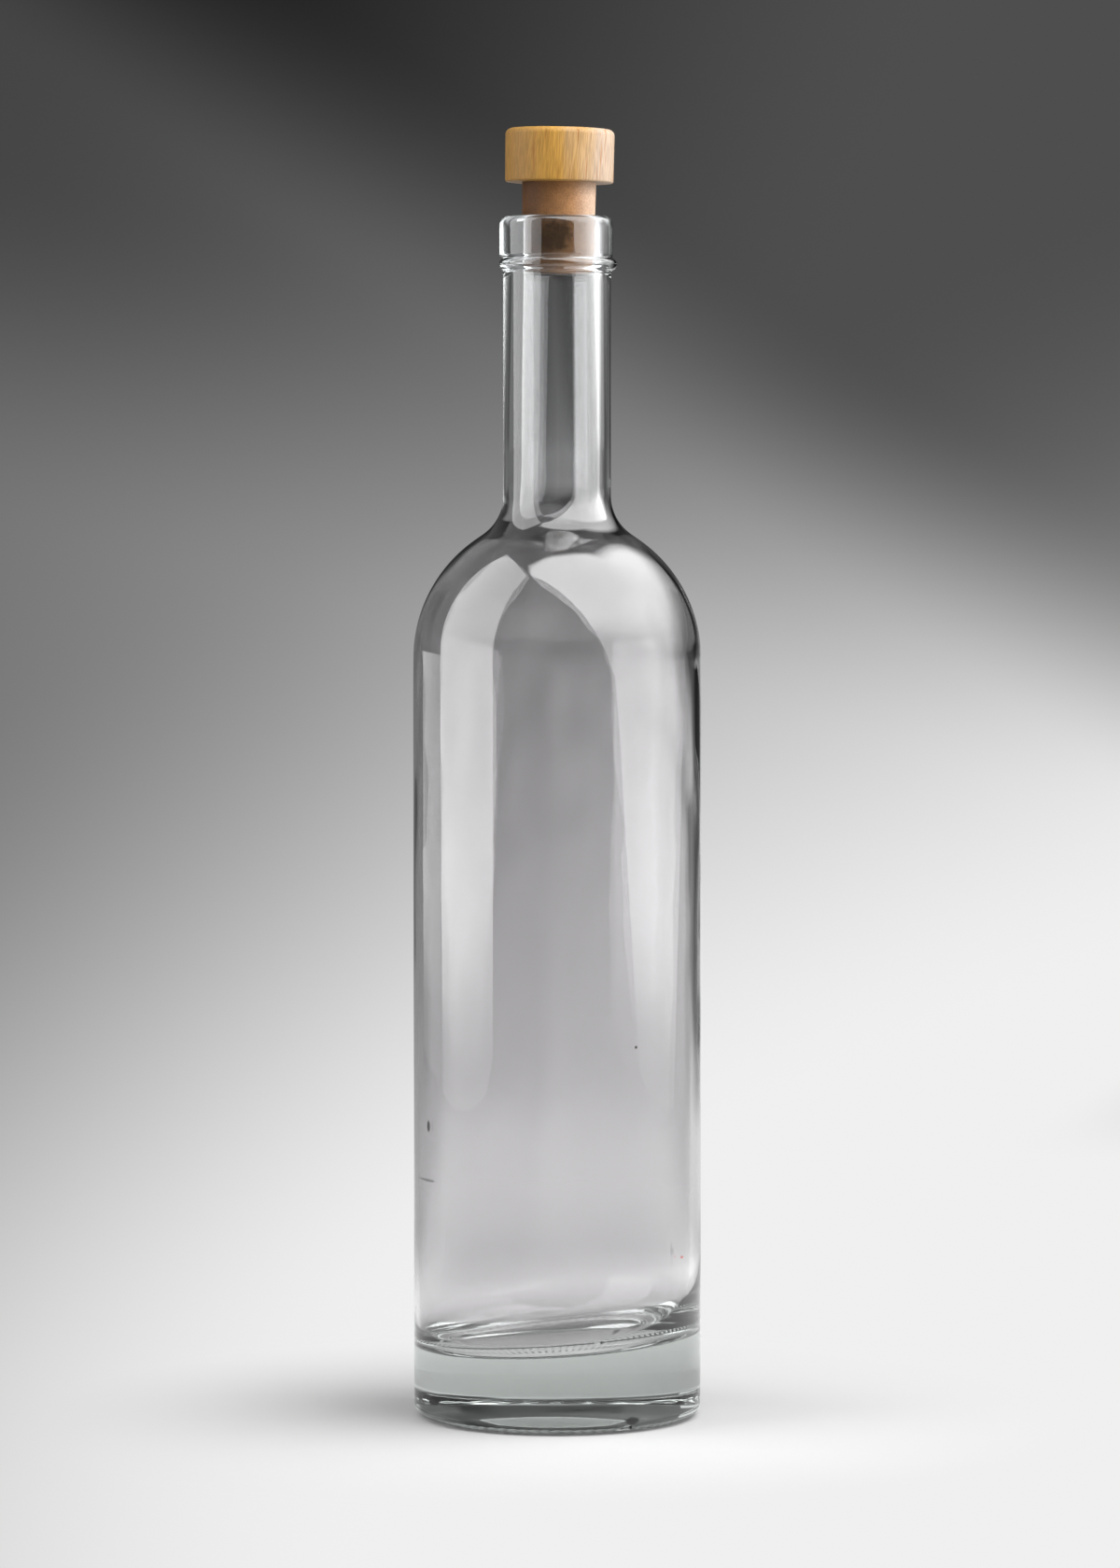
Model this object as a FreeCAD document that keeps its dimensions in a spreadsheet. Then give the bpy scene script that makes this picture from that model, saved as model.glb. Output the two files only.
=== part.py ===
# Empty clear-glass spirits bottle with a bar-top stopper that is only partly pushed in.
#
# Millimetres, +Z up. The origin is the middle of the base, on the surface that the bottle stands
# on. Z is the axis of the bottle's outside and the front of the bottle faces -Y.
#
# Three separate pieces, each a node of its own:
#   bottle         the glass: heavy base with a push-up and a knurled ring to stand on, straight
#                  body, round shoulder, long neck, bead and lip. The blown inside isn't
#                  concentric with the moulded outside: its chamber lies to the left, its neck to
#                  the right, and its floor slopes.
#   stopper_shank  the tapered plug, partly in the mouth and leaning
#   stopper_cap    the round wooden top, glued flat on the plug
#
# The mouth is the size that bar-top stoppers are made to, so the lip, bead, neck and plug all
# take their sizes from it. Heights build up from the base: body, shoulder, neck.
import FreeCAD, Part
import Sketcher
import math
import os

# Every driving dimension: its name, its value (mm, or degrees where it says so), what it is.
SIZES = (
    # body and base
    ("body_radius", 36.75, "outside radius of the straight body"),
    ("body_height", 194.0, "height at which the side starts to turn into the shoulder"),
    ("shoulder_radius", 36.75, "radius of the shoulder's round outline"),
    ("heel_radius", 3.3, "rounding between the side and the ring that the bottle stands on"),
    ("bearing_inset", 6.5, "from the side to the inner edge of that ring"),
    ("bearing_edge_radius", 1.2, "rounding between that ring and the push-up"),
    ("pushup_depth", 4.1, "rise of the hollow underside at its middle"),
    ("notch_azimuth", 29.0, "degrees from the front to the mould notch, towards +X"),
    ("notch_radius", 2.2, "radius of the mould notch in the heel"),
    ("notch_depth", 1.5, "how far the notch goes in from the side"),
    ("knurl_count", 80, "how many grooves part the knurls of the ring"),
    ("knurl_groove", 1.4, "width of a groove where it is widest"),
    ("knurl_depth", 0.35, "depth of a groove"),
    ("knurl_inset", 1.3, "flat left between the ring's inner edge and the grooves"),
    # neck and finish
    ("mouth_bore_radius", 9.4, "radius of the mouth that takes the stopper"),
    ("lip_wall", 5.0, "thickness of the lip round the mouth"),
    ("lip_depth", 10.1, "straight height of the lip"),
    ("lip_undercut", 0.3, "height of the slope under the lip"),
    ("lip_round", 2.0, "rounding of the lip's top edge"),
    ("groove_inset", 0.4, "how far the groove under the lip goes in from it"),
    ("bead_rise", 0.65, "how far the bead stands out past the lip"),
    ("bead_round", 1.6, "radius of the bead's own round section"),
    ("bead_drop", 12.2, "from the mouth down to the middle of the bead"),
    ("bead_blend", 0.6, "fillet where the bead meets the neck"),
    ("neck_inset", 0.7, "how far the neck lies in from the lip"),
    ("neck_height", 70.9, "from the top of the neck's root to the mouth"),
    ("neck_root_radius", 11.8, "radius of the hollow outline between shoulder and neck"),
    # inside of the glass
    ("body_wall", 1.9, "mean thickness of the side and the shoulder"),
    ("chamber_shift", -0.5, "how far the blown chamber lies off the axis, along X"),
    ("floor_height", 18.5, "height of the inside floor at its middle"),
    ("floor_tilt", 3.4, "degrees that the inside floor slopes, up towards +X"),
    ("floor_corner_radius", 12.0, "fillet between the inside floor and the wall"),
    ("neck_wall", 2.8, "mean thickness of the neck"),
    ("neck_bore_shift", 0.8, "how far the neck's inside lies off the axis, along X"),
    ("mouth_bore_shift", 0.4, "how far the mouth lies off the axis, along X"),
    ("mouth_bore_depth", 18.6, "depth of the straight mouth"),
    ("mouth_taper_length", 8.8, "length over which the mouth widens to the neck's inside"),
    ("mouth_round", 0.7, "rounding of the mouth's inner edge"),
    # stopper
    ("stopper_lean", 1.0, "degrees that the stopper leans, top towards +X"),
    ("shank_inserted", 13.7, "length of the plug below the mouth"),
    ("shank_exposed", 8.5, "length of the plug between mouth and cap"),
    ("shank_clearance", 0.16, "gap between plug and glass at the mouth"),
    ("shank_end_round", 1.3, "rounding of the plug's lower edge"),
    ("cap_bottom_radius", 13.75, "radius of the cap at its underside"),
    ("cap_top_radius", 13.85, "radius of the cap near its top"),
    ("cap_height", 14.0, "height of the cap"),
    ("cap_top_round", 1.6, "rounding of the cap's top edge"),
    ("cap_bottom_round", 0.5, "rounding of the cap's lower edge"),
)

# Sizes that follow from those, as expressions that the features are bound to.
BEARING_RADIUS = "(sizes.body_radius - sizes.bearing_inset)"
LIP_RADIUS = "(sizes.mouth_bore_radius + sizes.lip_wall)"
GROOVE_RADIUS = f"({LIP_RADIUS} - sizes.groove_inset)"
NECK_RADIUS = f"({LIP_RADIUS} - sizes.neck_inset)"
BEAD_CENTRE = f"({LIP_RADIUS} + sizes.bead_rise - sizes.bead_round)"
TURN_RADII = "(sizes.shoulder_radius + sizes.neck_root_radius)"
TURN_WIDTH = f"({NECK_RADIUS} + {TURN_RADII} - sizes.body_radius)"
NECK_BASE = f"(sizes.body_height + sqrt({TURN_RADII} ^ 2 - {TURN_WIDTH} ^ 2))"
MOUTH = f"({NECK_BASE} + sizes.neck_height)"
LIP_BASE = f"({MOUTH} - sizes.lip_depth)"
BEAD_HEIGHT = f"({MOUTH} - sizes.bead_drop)"
BEAD_FOOT = (f"({BEAD_HEIGHT}"
             f" - sqrt(sizes.bead_round ^ 2 - ({NECK_RADIUS} - {BEAD_CENTRE}) ^ 2))")
BEAD_HEAD = (f"({BEAD_HEIGHT}"
             f" + sqrt(sizes.bead_round ^ 2 - ({GROOVE_RADIUS} - {BEAD_CENTRE}) ^ 2))")
CHAMBER_RADIUS = "(sizes.body_radius - sizes.body_wall)"
CHAMBER_DOME = "(sizes.shoulder_radius - sizes.body_wall)"
INNER_ROOT_RADIUS = "(sizes.neck_root_radius + sizes.body_wall)"
NECK_BORE_RADIUS = f"({NECK_RADIUS} - sizes.neck_wall)"
TAPER_END = f"({MOUTH} - sizes.mouth_bore_depth)"
TAPER_START = f"({TAPER_END} - sizes.mouth_taper_length)"
SHANK_RADIUS = "(sizes.mouth_bore_radius - sizes.shank_clearance)"

TOLERANCE = 0.01
SPARE = 2.0
NODES = ("bottle", "stopper_shank", "stopper_cap")
Z_AXIS = FreeCAD.Vector(0, 0, 1)

document = FreeCAD.newDocument("spirits_bottle")


def make_sheet():
    """The spreadsheet that every feature takes its sizes from."""
    sheet = document.addObject("Spreadsheet::Sheet", "sizes")
    for row, (name, value, meaning) in enumerate(SIZES, start=1):
        sheet.set(f"A{row}", name)
        sheet.set(f"B{row}", str(value))
        sheet.setAlias(f"B{row}", name)
        sheet.set(f"C{row}", meaning)
    document.recompute()


def worth(expression):
    """What an expression of sheet sizes comes to, as a plain number."""
    value = document.getObject("sizes").evalExpression(expression)
    return float(getattr(value, "Value", value))


def make_body(label):
    """An empty body with its own label."""
    body = document.addObject("PartDesign::Body", label)
    body.Label = label
    return body


def origin_feature(body, role):
    """One of a body's own origin planes or axes, found by its role."""
    return next(item for item in body.Origin.OriginFeatures if item.Role == role)


def bind(target, **expressions):
    """Ties properties of an object to sheet sizes. A double underscore stands for a dot."""
    for name, expression in expressions.items():
        target.setExpression(name.replace("__", "."), expression)


class Outline:
    """A sketch on an origin plane of a body, drawn in its place and then constrained."""

    def __init__(self, body, name, role="XZ_Plane"):
        self.sketch = body.newObject("Sketcher::SketchObject", name)
        self.sketch.AttachmentSupport = (origin_feature(body, role), [""])
        self.sketch.MapMode = "FlatFace"

    def line(self, *ends):
        """A straight edge between two points, each (across, up)."""
        start, end = (FreeCAD.Vector(across, up, 0) for across, up in ends)
        return self.sketch.addGeometry(Part.LineSegment(start, end), False)

    def chain(self, *points):
        """Straight edges from point to point. Gives the number of each edge."""
        edges = [self.line(*ends) for ends in zip(points, points[1:])]
        for before, after in zip(edges, edges[1:]):
            self.tie("Coincident", before, 2, after, 1)
        return edges

    def arc(self, centre, start, end):
        """An arc round a centre, anticlockwise from the start point to the end point."""
        middle = FreeCAD.Vector(*centre, 0)
        ends = [FreeCAD.Vector(*point, 0) - middle for point in (start, end)]
        angles = [math.atan2(arm.y, arm.x) for arm in ends]
        circle = Part.Circle(middle, Z_AXIS, ends[0].Length)
        return self.sketch.addGeometry(Part.ArcOfCircle(circle, *angles), False)

    def circle(self, radius):
        """A full circle round the sketch's origin with the radius that an expression gives."""
        ring = Part.Circle(FreeCAD.Vector(0, 0, 0), Z_AXIS, worth(radius))
        edge = self.sketch.addGeometry(ring, False)
        self.tie("Coincident", edge, 3, -1, 1)
        self.measure("Radius", edge, to=radius)

    def tie(self, kind, *where):
        """A constraint without a size."""
        self.sketch.addConstraint(Sketcher.Constraint(kind, *where))

    def level(self, *edges):
        """Keeps edges horizontal."""
        for edge in edges:
            self.tie("Horizontal", edge)

    def upright(self, *edges):
        """Keeps edges vertical."""
        for edge in edges:
            self.tie("Vertical", edge)

    def measure(self, kind, *where, to):
        """A constraint whose size is an expression of sheet sizes."""
        index = self.sketch.addConstraint(Sketcher.Constraint(kind, *where, worth(to)))
        self.sketch.setExpression(f"Constraints[{index}]", to)

    def place(self, edge, end, across=None, up=None):
        """Fixes one end of an edge by its distance across and up from the sketch's origin."""
        if across is not None:
            self.measure("DistanceX", -1, 1, edge, end, to=across)
        if up is not None:
            self.measure("DistanceY", -1, 1, edge, end, to=up)


def revolve(body, outline, name):
    """Turns an outline a full turn about its own vertical axis and joins it to the body."""
    feature = body.newObject("PartDesign::Revolution", name)
    feature.Profile = outline.sketch
    feature.ReferenceAxis = (outline.sketch, ["V_Axis"])
    feature.Angle = 360
    document.recompute()


def round_edges(body, name, radius, wanted):
    """Fillets the edges of the body's last feature that a test picks out."""
    base = body.Tip
    names = [f"Edge{n}" for n, edge in enumerate(base.Shape.Edges, start=1) if wanted(edge)]
    if not names:
        raise RuntimeError(f"{name}: no edge to round")
    feature = body.newObject("PartDesign::Fillet", name)
    feature.Base = (base, names)
    bind(feature, Radius=radius)
    document.recompute()


def ring_at(radius, height):
    """A test for full circles of a radius at a height, both given as expressions."""
    wanted_radius = worth(radius)
    wanted_height = worth(height)

    def test(edge):
        if edge.Degenerated or not edge.Closed or not isinstance(edge.Curve, Part.Circle):
            return False
        same_radius = abs(edge.Curve.Radius - wanted_radius) < TOLERANCE
        return same_radius and abs(edge.Curve.Center.z - wanted_height) < TOLERANCE

    return test


def pocket(body, outline, name, backwards, length=None):
    """Cuts an outline into the body, to a length or through all of it."""
    before = body.Tip.Shape
    feature = body.newObject("PartDesign::Pocket", name)
    feature.Profile = outline.sketch
    feature.Reversed = backwards
    if length is None:
        feature.Type = "ThroughAll"
    else:
        bind(feature, Length=length)
    document.recompute()
    same_faces = len(feature.Shape.Faces) == len(before.Faces)
    if same_faces and feature.Shape.Volume > before.Volume - TOLERANCE:
        raise RuntimeError(f"{name}: nothing was cut")
    return feature


def draw_outside(body):
    """Half the outline of the moulded outside, from the push-up round to the mouth."""
    outline = Outline(body, "OutsideOutline")
    side = worth("sizes.body_radius")
    base = worth("sizes.body_height")
    neck = worth(NECK_RADIUS)
    neck_base = worth(NECK_BASE)
    groove = worth(GROOVE_RADIUS)
    lip = worth(LIP_RADIUS)
    lip_base = worth(LIP_BASE)
    top = worth(MOUTH)

    # push-up: a shallow dome, then the flat ring that the bottle stands on, then the side
    ring = worth(BEARING_RADIUS)
    rise = worth("sizes.pushup_depth")
    dome_centre = (rise ** 2 - ring ** 2) / (2 * rise)
    dome = outline.arc((0, dome_centre), (ring, 0), (0, rise))
    foot, wall = outline.chain((ring, 0), (side, 0), (side, base))

    # shoulder and the hollow root of the neck: two arcs that touch each other and their lines
    turn = worth("sizes.shoulder_radius")
    hollow = worth("sizes.neck_root_radius")
    shoulder_centre = FreeCAD.Vector(side - turn, base)
    root_centre = FreeCAD.Vector(neck + hollow, neck_base)
    meeting = shoulder_centre + (root_centre - shoulder_centre) * (turn / (turn + hollow))
    shoulder = outline.arc(shoulder_centre[:2], (side, base), meeting[:2])
    root = outline.arc(root_centre[:2], (neck, neck_base), meeting[:2])

    # neck, bead, groove, lip and the closed top
    bead_foot = worth(BEAD_FOOT)
    bead_head = worth(BEAD_HEAD)
    bead_centre = (worth(BEAD_CENTRE), worth(BEAD_HEIGHT))
    (tube,) = outline.chain((neck, neck_base), (neck, bead_foot))
    bead = outline.arc(bead_centre, (neck, bead_foot), (groove, bead_head))
    waist, undercut, rim, mouth, axis = outline.chain(
        (groove, bead_head),
        (groove, lip_base - worth("sizes.lip_undercut")),
        (lip, lip_base),
        (lip, top),
        (0, top),
        (0, rise),
    )

    outline.tie("PointOnObject", dome, 3, -2)
    outline.tie("PointOnObject", dome, 1, -1)
    outline.tie("PointOnObject", axis, 2, -2)
    outline.tie("Coincident", dome, 1, foot, 1)
    outline.tie("Coincident", dome, 2, axis, 2)
    outline.tie("Tangent", wall, 2, shoulder, 1)
    outline.tie("Tangent", shoulder, 2, root, 2)
    outline.tie("Tangent", root, 1, tube, 1)
    outline.tie("Coincident", tube, 2, bead, 1)
    outline.tie("Coincident", bead, 2, waist, 1)
    outline.level(foot, mouth)
    outline.upright(wall, tube, waist, rim, axis)

    outline.place(dome, 1, across=BEARING_RADIUS)
    outline.place(dome, 2, up="sizes.pushup_depth")
    outline.place(wall, 2, across="sizes.body_radius", up="sizes.body_height")
    outline.measure("Radius", shoulder, to="sizes.shoulder_radius")
    outline.measure("Radius", root, to="sizes.neck_root_radius")
    outline.place(tube, 2, across=NECK_RADIUS)
    outline.measure("Radius", bead, to="sizes.bead_round")
    outline.place(bead, 3, across=BEAD_CENTRE, up=BEAD_HEIGHT)
    outline.place(undercut, 1, across=GROOVE_RADIUS, up=f"{LIP_BASE} - sizes.lip_undercut")
    outline.place(rim, 1, across=LIP_RADIUS, up=LIP_BASE)
    outline.place(rim, 2, up=MOUTH)
    return outline


def cut_notch(body):
    """The small round notch that the mould leaves in the heel, to turn the bottle by."""
    outline = Outline(body, "NotchOutline")
    outline.circle("sizes.notch_radius")
    turn = FreeCAD.Rotation(FreeCAD.Vector(0, 1, 0), worth("sizes.notch_azimuth"))
    outline.sketch.AttachmentOffset = FreeCAD.Placement(FreeCAD.Vector(0, 0, 0), turn)
    reach = "(sizes.body_radius - sizes.notch_depth)"
    bind(outline.sketch,
         AttachmentOffset__Base__x=f"{reach} * sin(sizes.notch_azimuth)",
         AttachmentOffset__Base__z=f"{reach} * cos(sizes.notch_azimuth)",
         AttachmentOffset__Rotation__Angle="sizes.notch_azimuth")
    pocket(body, outline, "Notch", backwards=True)


def cut_knurls(body):
    """Shallow radial grooves all round the ring, which leave the knurls standing between."""
    outline = Outline(body, "KnurlOutline", "YZ_Plane")
    half = worth("sizes.knurl_groove") / 2
    depth = worth("sizes.knurl_depth")
    floor, left, right = outline.chain((-half, 0), (half, 0), (0, depth), (-half, 0))
    outline.tie("Coincident", right, 2, floor, 1)
    outline.tie("PointOnObject", floor, 1, -1)
    outline.tie("PointOnObject", floor, 2, -1)
    outline.tie("PointOnObject", left, 2, -2)
    outline.measure("DistanceX", floor, 1, -1, 1, to="sizes.knurl_groove / 2")
    outline.place(floor, 2, across="sizes.knurl_groove / 2")
    outline.place(left, 2, up="sizes.knurl_depth")
    start = f"({BEARING_RADIUS} + sizes.knurl_inset)"
    bind(outline.sketch, AttachmentOffset__Base__z=start)
    groove = pocket(body, outline, "KnurlGroove", backwards=True,
                    length=f"sizes.body_radius - {start}")
    pattern = body.newObject("PartDesign::PolarPattern", "Knurls")
    pattern.Originals = [groove]
    pattern.Axis = (origin_feature(body, "Z_Axis"), [""])
    pattern.Angle = 360
    bind(pattern, Occurrences="sizes.knurl_count")
    body.Tip = pattern
    document.recompute()


def make_outside():
    """The moulded outside of the glass, still solid."""
    body = make_body("glass_outside")
    revolve(body, draw_outside(body), "OutsideForm")
    round_edges(body, "Heel", "sizes.heel_radius", ring_at("sizes.body_radius", "0"))
    round_edges(body, "BearingEdge", "sizes.bearing_edge_radius", ring_at(BEARING_RADIUS, "0"))
    round_edges(body, "LipTop", "sizes.lip_round", ring_at(LIP_RADIUS, MOUTH))
    round_edges(body, "BeadFoot", "sizes.bead_blend", ring_at(NECK_RADIUS, BEAD_FOOT))
    cut_notch(body)
    cut_knurls(body)
    return body


def add_chamber(body):
    """The chamber: straight side and round top, taken down past where the floor will be."""
    side = worth(CHAMBER_RADIUS)
    dome = worth(CHAMBER_DOME)
    base = worth("sizes.body_height")
    low = worth("sizes.floor_height / 3")
    apex = base + math.sqrt(dome ** 2 - (dome - side) ** 2)
    outline = Outline(body, "ChamberOutline")
    bottom, wall = outline.chain((0, low), (side, low), (side, base))
    top = outline.arc((side - dome, base), (side, base), (0, apex))
    (axis,) = outline.chain((0, apex), (0, low))
    outline.tie("PointOnObject", bottom, 1, -2)
    outline.tie("Tangent", wall, 2, top, 1)
    outline.tie("Coincident", top, 2, axis, 1)
    outline.tie("Coincident", axis, 2, bottom, 1)
    outline.level(bottom)
    outline.upright(wall, axis)
    outline.place(bottom, 1, up="sizes.floor_height / 3")
    outline.place(wall, 2, across=CHAMBER_RADIUS, up="sizes.body_height")
    outline.measure("Radius", top, to=CHAMBER_DOME)
    revolve(body, outline, "Chamber")


def slope_floor(body):
    """Gives back the glass under a sloping plane, and rounds the floor into the wall."""
    outline = Outline(body, "FloorOutline", "XY_Plane")
    outline.circle("sizes.body_radius * 2")
    slope = FreeCAD.Rotation(FreeCAD.Vector(0, -1, 0), worth("sizes.floor_tilt"))
    outline.sketch.AttachmentOffset = FreeCAD.Placement(FreeCAD.Vector(0, 0, 0), slope)
    bind(outline.sketch,
         AttachmentOffset__Base__z="sizes.floor_height",
         AttachmentOffset__Rotation__Angle="sizes.floor_tilt")
    pocket(body, outline, "SlopingFloor", backwards=False)

    middle = worth("sizes.floor_height")
    side = worth(CHAMBER_RADIUS)
    climb = worth(f"{CHAMBER_RADIUS} * tan(sizes.floor_tilt)") + TOLERANCE

    def round_floor(edge):
        return abs(edge.BoundBox.Center.z - middle) < climb and edge.BoundBox.XLength > side

    round_edges(body, "FloorCorner", "sizes.floor_corner_radius", round_floor)


def add_neck_bore(body):
    """The neck's inside, off the chamber's axis, rounded into the chamber's top."""
    outline = Outline(body, "NeckBoreOutline", "XY_Plane")
    outline.circle(NECK_BORE_RADIUS)
    bind(outline.sketch,
         AttachmentOffset__Base__x="sizes.neck_bore_shift - sizes.chamber_shift",
         AttachmentOffset__Base__z="sizes.body_height")
    bore = body.newObject("PartDesign::Pad", "NeckBore")
    bore.Profile = outline.sketch
    bind(bore, Length=f"{TAPER_START} - sizes.body_height")
    document.recompute()

    lowest = worth("sizes.body_height") + TOLERANCE
    highest = worth(TAPER_START) - TOLERANCE
    width = worth(NECK_BORE_RADIUS)

    def round_root(edge):
        between = lowest < edge.BoundBox.ZMin and edge.BoundBox.ZMax < highest
        return between and edge.BoundBox.YLength > width

    round_edges(body, "InnerRoot", INNER_ROOT_RADIUS, round_root)


def add_taper(body):
    """The stretch where the straight mouth widens to the neck's inside."""
    ends = (
        ("TaperStart", NECK_BORE_RADIUS, "sizes.neck_bore_shift", TAPER_START),
        ("TaperEnd", "sizes.mouth_bore_radius", "sizes.mouth_bore_shift", TAPER_END),
    )
    sketches = []
    for name, radius, shift, height in ends:
        outline = Outline(body, name, "XY_Plane")
        outline.circle(radius)
        bind(outline.sketch,
             AttachmentOffset__Base__x=f"{shift} - sizes.chamber_shift",
             AttachmentOffset__Base__z=height)
        sketches.append(outline.sketch)
    taper = body.newObject("PartDesign::AdditiveLoft", "BoreTaper")
    taper.Profile = sketches[0]
    taper.Sections = sketches[1:]
    taper.Ruled = True
    document.recompute()


def add_mouth(body):
    """The straight mouth with its rounded rim, taken a little past the top of the glass."""
    side = worth("sizes.mouth_bore_radius")
    rim = worth("sizes.mouth_round")
    low = worth(TAPER_END)
    top = worth(MOUTH)
    outline = Outline(body, "MouthOutline")
    bind(outline.sketch,
         AttachmentOffset__Base__x="sizes.mouth_bore_shift - sizes.chamber_shift")
    bottom, wall = outline.chain((0, low), (side, low), (side, top - rim))
    flare = outline.arc((side + rim, top - rim), (side + rim, top), (side, top - rim))
    rise, lid, axis = outline.chain(
        (side + rim, top),
        (side + rim, top + SPARE),
        (0, top + SPARE),
        (0, low),
    )
    outline.tie("PointOnObject", bottom, 1, -2)
    outline.tie("Tangent", wall, 2, flare, 2)
    outline.tie("Coincident", flare, 1, rise, 1)
    outline.tie("Coincident", axis, 2, bottom, 1)
    outline.level(bottom, lid)
    outline.upright(wall, rise, axis)
    outline.place(bottom, 1, up=TAPER_END)
    outline.place(wall, 2, across="sizes.mouth_bore_radius", up=f"{MOUTH} - sizes.mouth_round")
    outline.place(flare, 1, across="sizes.mouth_bore_radius + sizes.mouth_round")
    outline.measure("Radius", flare, to="sizes.mouth_round")
    outline.place(rise, 2, up=f"{MOUTH} + {SPARE}")
    revolve(body, outline, "Mouth")


def make_inside():
    """The hollow that the blown air leaves: sloping floor, chamber, neck and mouth."""
    body = make_body("glass_inside")
    bind(body, Placement__Base__x="sizes.chamber_shift")
    add_chamber(body)
    slope_floor(body)
    add_neck_bore(body)
    add_taper(body)
    add_mouth(body)
    return body


def make_bottle():
    """The glass: its moulded outside less its blown inside."""
    bottle = document.addObject("Part::Cut", "bottle")
    bottle.Label = "bottle"
    bottle.Base = make_outside()
    bottle.Tool = make_inside()
    document.recompute()


def turned_piece(label, low, high):
    """A turned piece with a straight flank between two rings, each (radius, height)."""
    body = make_body(label)
    outline = Outline(body, f"{label}_outline")
    low_radius, low_height = (worth(item) for item in low)
    high_radius, high_height = (worth(item) for item in high)
    bottom, flank, top, axis = outline.chain(
        (0, low_height),
        (low_radius, low_height),
        (high_radius, high_height),
        (0, high_height),
        (0, low_height),
    )
    outline.tie("Coincident", axis, 2, bottom, 1)
    outline.tie("PointOnObject", bottom, 1, -2)
    outline.level(bottom, top)
    outline.upright(axis)
    outline.place(flank, 1, across=low[0], up=low[1])
    outline.place(flank, 2, across=high[0], up=high[1])
    revolve(body, outline, f"{label}_form")
    return body


def seat_in_mouth(body):
    """Stands a stopper piece in the middle of the mouth, leaning. Its z = 0 is the mouth."""
    lean = FreeCAD.Rotation(FreeCAD.Vector(0, 1, 0), worth("sizes.stopper_lean"))
    body.Placement = FreeCAD.Placement(FreeCAD.Vector(0, 0, 0), lean)
    bind(body,
         Placement__Base__x="sizes.mouth_bore_shift",
         Placement__Base__z=MOUTH,
         Placement__Rotation__Angle="sizes.stopper_lean")


def make_shank():
    """The tapered plug, thin enough at its end to lean in the mouth without touching."""
    end = (f"{SHANK_RADIUS} - sizes.shank_inserted * tan(sizes.stopper_lean)",
           "-sizes.shank_inserted")
    top = (f"{SHANK_RADIUS} + sizes.shank_exposed * tan(sizes.stopper_lean)",
           "sizes.shank_exposed")
    shank = turned_piece("stopper_shank", end, top)
    round_edges(shank, "ShankEnd", "sizes.shank_end_round", ring_at(*end))
    seat_in_mouth(shank)


def make_cap():
    """The wooden top, standing on the plug's upper face."""
    bottom = ("sizes.cap_bottom_radius", "sizes.shank_exposed")
    top = ("sizes.cap_top_radius", "sizes.shank_exposed + sizes.cap_height")
    cap = turned_piece("stopper_cap", bottom, top)
    round_edges(cap, "CapTop", "sizes.cap_top_round", ring_at(*top))
    round_edges(cap, "CapBottom", "sizes.cap_bottom_round", ring_at(*bottom))
    seat_in_mouth(cap)


def check_document():
    """Stops before anything is written if a feature failed or a shape isn't a sound solid."""
    for item in document.Objects:
        if "Invalid" in item.State or "Error" in item.State:
            raise RuntimeError(f"{item.Label}: {item.State}")
    for label in NODES:
        shape = document.getObjectsByLabel(label)[0].Shape
        if shape.isNull() or not shape.isValid() or len(shape.Solids) != 1:
            raise RuntimeError(f"{label}: not one sound solid")


def write_parts():
    """Writes each node's solid to parts/NODE.step."""
    os.makedirs("parts", exist_ok=True)
    for label in NODES:
        shape = document.getObjectsByLabel(label)[0].Shape
        shape.exportStep(f"parts/{label}.step")
        print(f"{label}: {shape.Volume / 1000:.1f} ml")


make_sheet()
make_bottle()
make_shank()
make_cap()
document.recompute()
check_document()
write_parts()
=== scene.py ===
"""An empty clear-glass spirits bottle with a wooden-topped stopper, on a pale studio sweep."""
import logging
import math
from dataclasses import dataclass, field
from enum import Enum
from typing import Callable

import bmesh
import bpy
from mathutils import Matrix, Vector


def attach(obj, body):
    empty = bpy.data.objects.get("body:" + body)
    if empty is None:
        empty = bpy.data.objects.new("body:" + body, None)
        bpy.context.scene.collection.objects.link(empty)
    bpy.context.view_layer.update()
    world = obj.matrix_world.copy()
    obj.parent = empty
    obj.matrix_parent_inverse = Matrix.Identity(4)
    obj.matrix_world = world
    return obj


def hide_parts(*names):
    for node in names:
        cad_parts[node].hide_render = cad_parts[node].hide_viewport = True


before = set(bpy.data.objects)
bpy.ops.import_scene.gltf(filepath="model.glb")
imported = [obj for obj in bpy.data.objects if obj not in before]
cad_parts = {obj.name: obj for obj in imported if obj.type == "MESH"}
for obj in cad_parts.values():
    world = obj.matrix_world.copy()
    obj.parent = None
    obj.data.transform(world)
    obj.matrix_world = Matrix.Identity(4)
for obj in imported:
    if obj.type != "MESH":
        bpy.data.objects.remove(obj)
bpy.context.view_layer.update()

LOG = logging.getLogger("bottle")
MM = 0.001
BODY = "root"
Pair = tuple[float, float]
Triple = tuple[float, float, float]
Colour = tuple[float, float, float, float]


class Change(Enum):
    """The modifiers that are applied to the pieces."""

    SUBDIVIDE = "SUBSURF"
    DISPLACE = "DISPLACE"
    CUT = "BOOLEAN"


# ---------------------------------------------------------------- modelling helpers

def start_clean() -> None:
    """Leaves edit mode and deselects every object."""
    if bpy.context.mode != "OBJECT":
        bpy.ops.object.mode_set(mode="OBJECT")
    bpy.ops.object.select_all(action="DESELECT")


def finish_object(name: str) -> bpy.types.Object:
    """Names the active object and puts its place, turn and size into its mesh.

    Args:
        name: the piece's name.

    Returns:
        The finished object.
    """
    piece = bpy.context.active_object
    piece.name = name
    piece.data.name = name
    bpy.ops.object.mode_set(mode="OBJECT")
    bpy.ops.object.transform_apply(location=True, rotation=True, scale=True)
    return piece


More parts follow.
